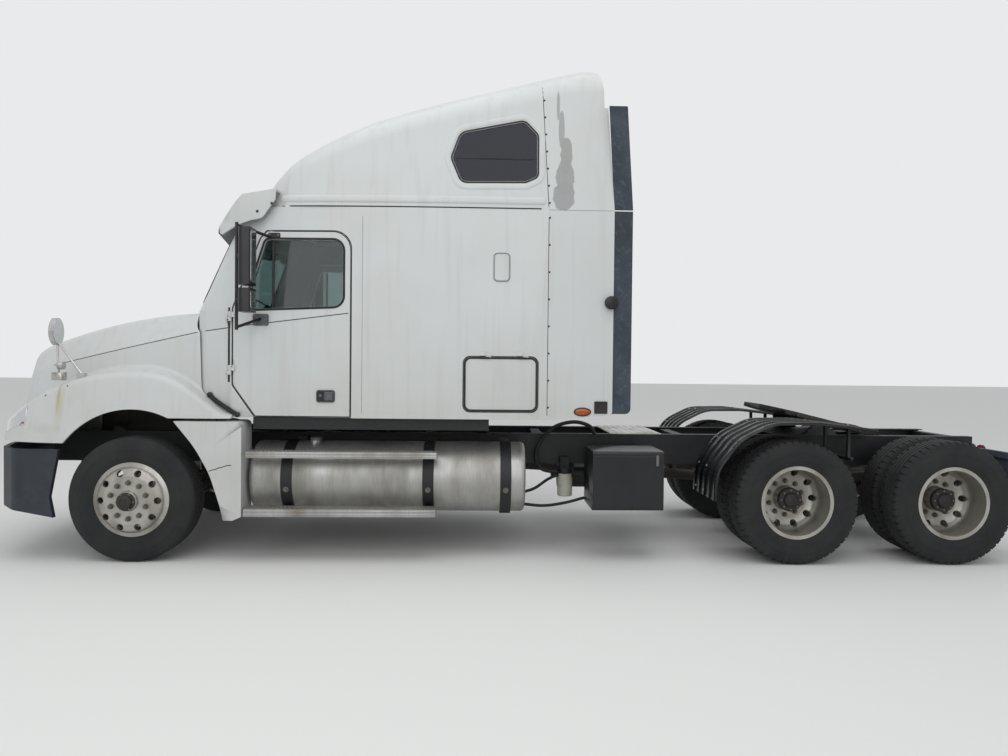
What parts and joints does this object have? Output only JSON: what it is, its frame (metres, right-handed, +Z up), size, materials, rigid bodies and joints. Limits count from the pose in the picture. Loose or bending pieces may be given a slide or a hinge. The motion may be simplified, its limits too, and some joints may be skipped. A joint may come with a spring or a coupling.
{
  "type": "semi truck tractor unit",
  "caption": "Road tractor with a tilting hood, raised-roof sleeper, tandem dual drive wheels and a tilting coupling plate that pulls a semi-trailer.",
  "frame": {"origin": "on the ground, midway between the front of the bumper and the tail of the frame, on the truck's centre line", "axes": "+X to the truck's rear, +Y to its right (the passenger's side), +Z up"},
  "size_m": [8.5322, 2.8598, 4.1048],
  "materials": {
    "frame_rails": "black chassis paint with dust and rust",
    "crossmembers": "black chassis paint with dust and rust",
    "front_axle": "dusty dark casting",
    "front_springs": "dusty dark casting",
    "knuckle_left": "dusty dark casting",
    "knuckle_right": "dusty dark casting",
    "tie_rod": "dusty dark casting",
    "steer_wheel_left": "weathered aluminium",
    "steer_wheel_right": "weathered aluminium",
    "steer_tyre_left": "worn dusty rubber",
    "steer_tyre_right": "worn dusty rubber",
    "drive_wheel_front_left": "weathered aluminium",
    "drive_wheel_front_right": "weathered aluminium",
    "drive_wheel_rear_left": "weathered aluminium",
    "drive_wheel_rear_right": "weathered aluminium",
    "drive_tyres_front_left": "worn dusty rubber",
    "drive_tyres_front_right": "worn dusty rubber",
    "drive_tyres_rear_left": "worn dusty rubber",
    "drive_tyres_rear_right": "worn dusty rubber",
    "drive_axles": "dusty dark casting",
    "rear_suspension": "dusty dark casting",
    "engine": "dusty dark casting",
    "radiator": "dull brushed aluminium",
    "bumper": "dark grey plastic, weathered",
    "cab_shell": "dull white paint, stained and chalky",
    "door_left": "dull white paint, stained and chalky",
    "door_right": "dull white paint, stained and chalky",
    "door_glass_left": "tinted glass",
    "door_glass_right": "tinted glass",
    "sleeper_shell": "dull white paint, stained and chalky",
    "luggage_door_left": "dull white paint, stained and chalky",
    "luggage_door_right": "dull white paint, stained and chalky",
    "roof_fairing": "dull white paint, stained and chalky",
    "fixed_windows": "tinted glass",
    "extenders": "dull white paint, stained and chalky",
    "extender_edges": "dull black rubber",
    "sun_visor": "dull white paint, stained and chalky",
    "cab_underframe": "black chassis paint with dust and rust",
    "seats_and_bunk": "dark grey cloth",
    "dashboard": "black textured plastic",
    "hood": "dull white paint, stained and chalky",
    "grille": "dull chrome",
    "headlamps": "clear lens, slightly hazed",
    "hood_mirrors": "dull chrome",
    "wheel_fairings": "white plastic",
    "fuel_tanks": "dull brushed aluminium",
    "tank_straps": "black chassis paint with dust and rust",
    "tank_steps": "dull brushed aluminium",
    "battery_box": "black textured plastic",
    "exhaust": "dull brushed aluminium",
    "air_tanks": "black chassis paint with dust and rust",
    "fuel_filter": "black chassis paint with dust and rust",
    "deck_plate": "dull brushed aluminium",
    "rear_fenders": "black textured plastic",
    "mud_flaps": "dull black rubber",
    "tail_lamps": "red lens",
    "fifth_wheel_base": "black chassis paint with dust and rust",
    "fifth_wheel_plate": "dusty dark casting",
    "side_mirror_left": "black textured plastic",
    "side_mirror_right": "black textured plastic"
  },
  "bodies": {
    "chassis": {"frame_rails": "frame_rails", "crossmembers": "crossmembers", "front_axle": "front_axle", "front_springs": "front_springs", "drive_axles": "drive_axles", "rear_suspension": "rear_suspension", "engine": "engine", "radiator": "radiator", "bumper": "bumper", "cab_shell": "cab_shell", "sleeper_shell": "sleeper_shell", "roof_fairing": "roof_fairing", "fixed_windows": "fixed_windows", "extenders": "extenders", "extender_edges": "extender_edges", "sun_visor": "sun_visor", "cab_underframe": "cab_underframe", "seats_and_bunk": "seats_and_bunk", "dashboard": "dashboard", "wheel_fairings": "wheel_fairings", "fuel_tanks": "fuel_tanks", "tank_straps": "tank_straps", "tank_steps": "tank_steps", "battery_box": "battery_box", "exhaust": "exhaust", "air_tanks": "air_tanks", "fuel_filter": "fuel_filter", "deck_plate": "deck_plate", "rear_fenders": "rear_fenders", "mud_flaps": "mud_flaps", "tail_lamps": "tail_lamps", "fifth_wheel_base": "fifth_wheel_base"},
    "steering_knuckle_left": {"knuckle_left": "knuckle_left"},
    "steering_knuckle_right": {"knuckle_right": "knuckle_right"},
    "steering_tie_rod": {"tie_rod": "tie_rod"},
    "front_wheel_left": {"steer_wheel_left": "steer_wheel_left", "steer_tyre_left": "steer_tyre_left"},
    "front_wheel_right": {"steer_wheel_right": "steer_wheel_right", "steer_tyre_right": "steer_tyre_right"},
    "cab_door_left": {"door_left": "door_left", "door_glass_left": "door_glass_left", "side_mirror_left": "side_mirror_left"},
    "cab_door_right": {"door_right": "door_right", "door_glass_right": "door_glass_right", "side_mirror_right": "side_mirror_right"},
    "locker_door_left": {"luggage_door_left": "luggage_door_left"},
    "locker_door_right": {"luggage_door_right": "luggage_door_right"},
    "tilting_hood": {"hood": "hood", "grille": "grille", "headlamps": "headlamps", "hood_mirrors": "hood_mirrors"},
    "coupling_plate": {"fifth_wheel_plate": "fifth_wheel_plate"},
    "dual_wheel_front_left": {"drive_wheel_front_left": "drive_wheel_front_left", "drive_tyres_front_left": "drive_tyres_front_left"},
    "dual_wheel_front_right": {"drive_wheel_front_right": "drive_wheel_front_right", "drive_tyres_front_right": "drive_tyres_front_right"},
    "dual_wheel_rear_left": {"drive_wheel_rear_left": "drive_wheel_rear_left", "drive_tyres_rear_left": "drive_tyres_rear_left"},
    "dual_wheel_rear_right": {"drive_wheel_rear_right": "drive_wheel_rear_right", "drive_tyres_rear_right": "drive_tyres_rear_right"}
  },
  "joints": [
    {"name": "steer_left", "type": "hinge", "parent": "chassis", "child": "steering_knuckle_left", "pos_m": [-3.035, -0.86, 0.5], "axis": [0, 0, 1], "range_deg": [-40, 40]},
    {"name": "steer_right", "type": "hinge", "parent": "chassis", "child": "steering_knuckle_right", "pos_m": [-3.035, 0.86, 0.5], "axis": [0, 0, 1], "range_deg": [-40, 40]},
    {"name": "tie_rod_pin", "type": "hinge", "parent": "steering_knuckle_left", "child": "steering_tie_rod", "pos_m": [-2.855, -0.86, 0.386], "axis": [0, 0, 1], "range_deg": [-40, 40]},
    {"name": "front_wheel_spin_left", "type": "hinge", "parent": "steering_knuckle_left", "child": "front_wheel_left", "pos_m": [-3.035, -1.03, 0.5], "axis": [0, -1, 0], "continuous": true},
    {"name": "front_wheel_spin_right", "type": "hinge", "parent": "steering_knuckle_right", "child": "front_wheel_right", "pos_m": [-3.035, 1.03, 0.5], "axis": [0, -1, 0], "continuous": true},
    {"name": "drive_wheel_spin_front_left", "type": "hinge", "parent": "chassis", "child": "dual_wheel_front_left", "pos_m": [2.3075, -0.9195, 0.506], "axis": [0, -1, 0], "continuous": true},
    {"name": "drive_wheel_spin_front_right", "type": "hinge", "parent": "chassis", "child": "dual_wheel_front_right", "pos_m": [2.3075, 0.9195, 0.506], "axis": [0, -1, 0], "continuous": true},
    {"name": "drive_wheel_spin_rear_left", "type": "hinge", "parent": "chassis", "child": "dual_wheel_rear_left", "pos_m": [3.6025, -0.9195, 0.506], "axis": [0, -1, 0], "continuous": true},
    {"name": "drive_wheel_spin_rear_right", "type": "hinge", "parent": "chassis", "child": "dual_wheel_rear_right", "pos_m": [3.6025, 0.9195, 0.506], "axis": [0, -1, 0], "continuous": true},
    {"name": "hood_tilt", "type": "hinge", "parent": "chassis", "child": "tilting_hood", "pos_m": [-4.19, 0, 0.985], "axis": [0, -1, 0], "range_deg": [0, 60]},
    {"name": "cab_door_swing_left", "type": "hinge", "parent": "chassis", "child": "cab_door_left", "pos_m": [-2.283, -1.092, 1.6], "axis": [0, 0, -1], "range_deg": [0, 65]},
    {"name": "cab_door_swing_right", "type": "hinge", "parent": "chassis", "child": "cab_door_right", "pos_m": [-2.283, 1.092, 1.6], "axis": [0, 0, 1], "range_deg": [0, 65]},
    {"name": "locker_door_lift_left", "type": "hinge", "parent": "chassis", "child": "locker_door_left", "pos_m": [-0.135, -1.1578, 1.679], "axis": [-1, 0, 0], "range_deg": [0, 80]},
    {"name": "locker_door_lift_right", "type": "hinge", "parent": "chassis", "child": "locker_door_right", "pos_m": [-0.135, 1.1578, 1.679], "axis": [1, 0, 0], "range_deg": [0, 80]},
    {"name": "coupling_tilt", "type": "hinge", "parent": "chassis", "child": "coupling_plate", "pos_m": [2.825, 0, 1.06], "axis": [0, -1, 0], "range_deg": [0, 27]}
  ],
  "couplings": [
    {"joint": "steer_right", "follows": "steer_left", "ratio": 1},
    {"joint": "tie_rod_pin", "follows": "steer_left", "ratio": -1}
  ]
}
